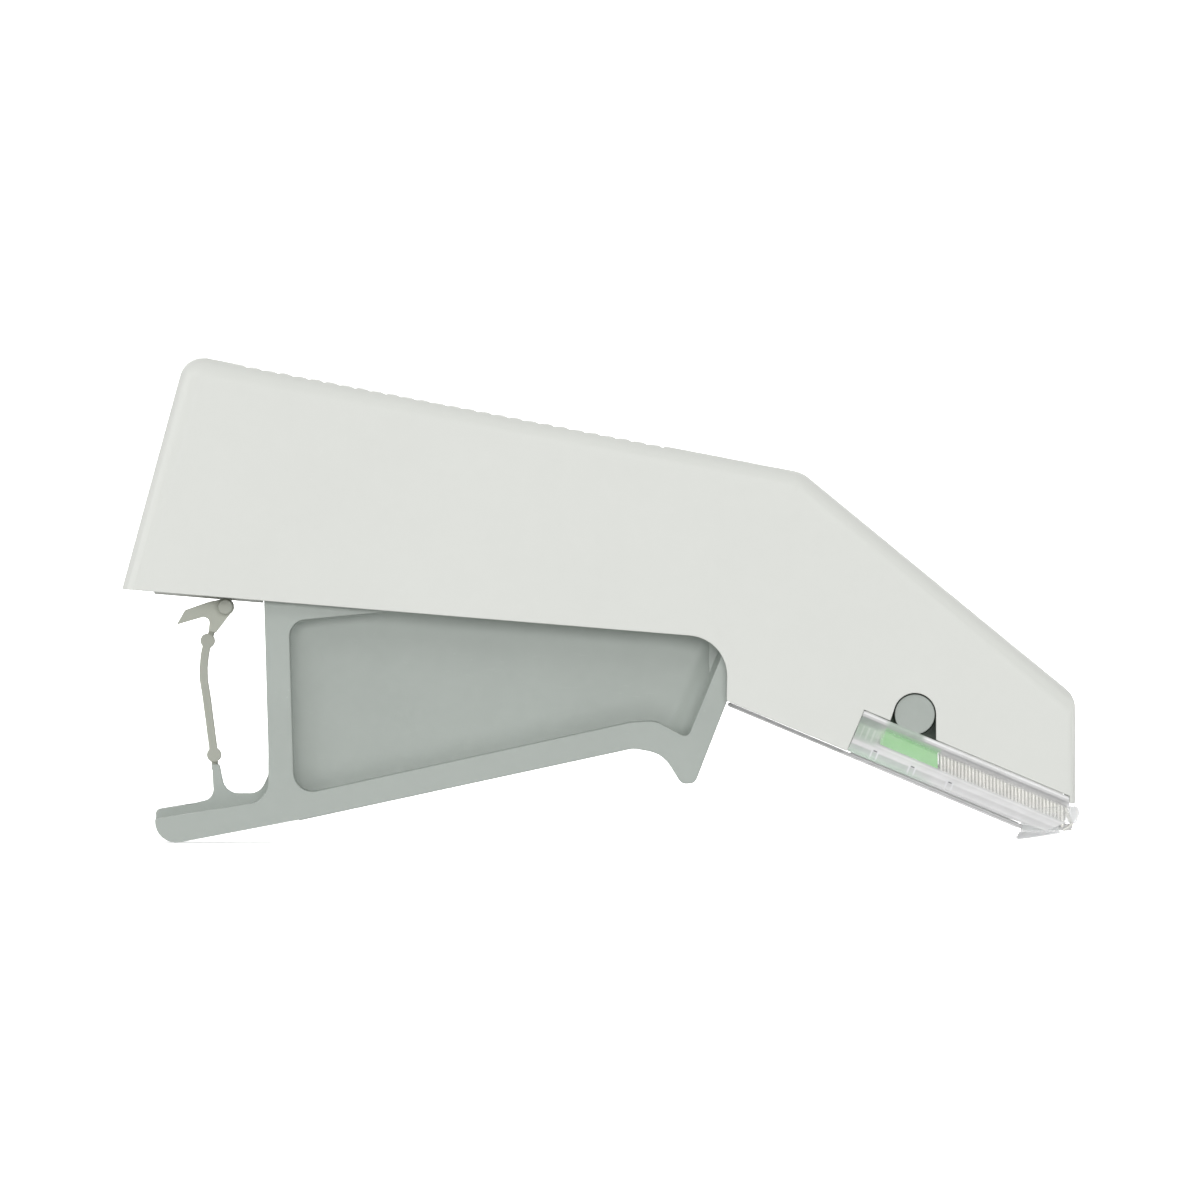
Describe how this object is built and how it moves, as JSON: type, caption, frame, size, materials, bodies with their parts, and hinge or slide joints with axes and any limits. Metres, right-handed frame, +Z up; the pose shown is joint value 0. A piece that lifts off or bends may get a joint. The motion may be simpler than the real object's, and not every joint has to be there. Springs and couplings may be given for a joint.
{
  "type": "surgical skin stapler",
  "caption": "Hand-held disposable skin stapler: hollow wedge-shaped body, squeeze lever with ratchet pawl, and a clear magazine feeding wire staples to an anvil at the nose.",
  "frame": {"origin": "centre of the bounding box, at the plane it stands on", "axes": "+X towards the nose, +Y to the left seen from behind, +Z up; it stands on the lever heel and the nose foot"},
  "size_m": [0.1499, 0.018, 0.0759],
  "materials": {
    "shell": "satin warm white moulding",
    "lever": "satin grey-green moulding",
    "pawl": "satin pale grey moulding",
    "clear": "clear polished moulding",
    "steel": "bright stamped stainless steel",
    "staple": "bright drawn wire",
    "pusher": "satin pale green moulding",
    "carrier": "satin off-white moulding"
  },
  "bodies": {
    "housing": {"housing_right": "shell", "housing_left": "shell", "magazine_body": "clear", "window_right": "clear", "window_left": "clear", "anvil_plate": "steel", "staple_strip": "staple", "front_staple": "staple", "pusher_spring": "steel", "spring_stop": "carrier", "guide_rod": "steel", "retainer_spring": "steel", "trigger_spring": "steel"},
    "trigger": {"trigger": "lever"},
    "pawl_link": {"pawl_link": "pawl"},
    "pawl_hook": {"pawl_hook": "pawl", "pawl_pin": "pawl"},
    "driver": {"driver_blade": "steel", "driver_carrier": "carrier"},
    "pusher": {"pusher": "pusher"}
  },
  "joints": [
    {"name": "trigger_pivot", "type": "hinge", "parent": "housing", "child": "trigger", "pos_m": [0.0491, 0, 0.0201], "axis": [0, 1, 0], "range_deg": [0, 13.4], "stiffness_Nm_per_rad": 1, "springref_deg": -22.92, "deforming": ["trigger_spring"]},
    {"name": "driver_slide", "type": "slide", "parent": "housing", "child": "driver", "axis": [0, 0, -1], "range_m": [0, 0.00505], "deforming": ["front_staple"]},
    {"name": "pusher_slide", "type": "slide", "parent": "housing", "child": "pusher", "axis": [0.9219, 0, -0.3875], "range_m": [0, 0.0203], "deforming": ["staple_strip", "pusher_spring"]},
    {"name": "pawl_link_flex", "type": "hinge", "parent": "trigger", "child": "pawl_link", "pos_m": [-0.0606, 0, 0.0137], "axis": [0, 1, 0], "range_deg": [-8.1, 0]},
    {"name": "pawl_hook_flex", "type": "hinge", "parent": "pawl_link", "child": "pawl_hook", "pos_m": [-0.0616, 0, 0.0316], "axis": [0, 1, 0], "range_deg": [0, 5.1]}
  ],
  "couplings": [
    {"joint": "driver_slide", "follows": "trigger_pivot", "m_per_rad": 0.0215},
    {"joint": "pawl_link_flex", "follows": "trigger_pivot", "ratio": -0.597},
    {"joint": "pawl_hook_flex", "follows": "trigger_pivot", "ratio": 0.373}
  ]
}
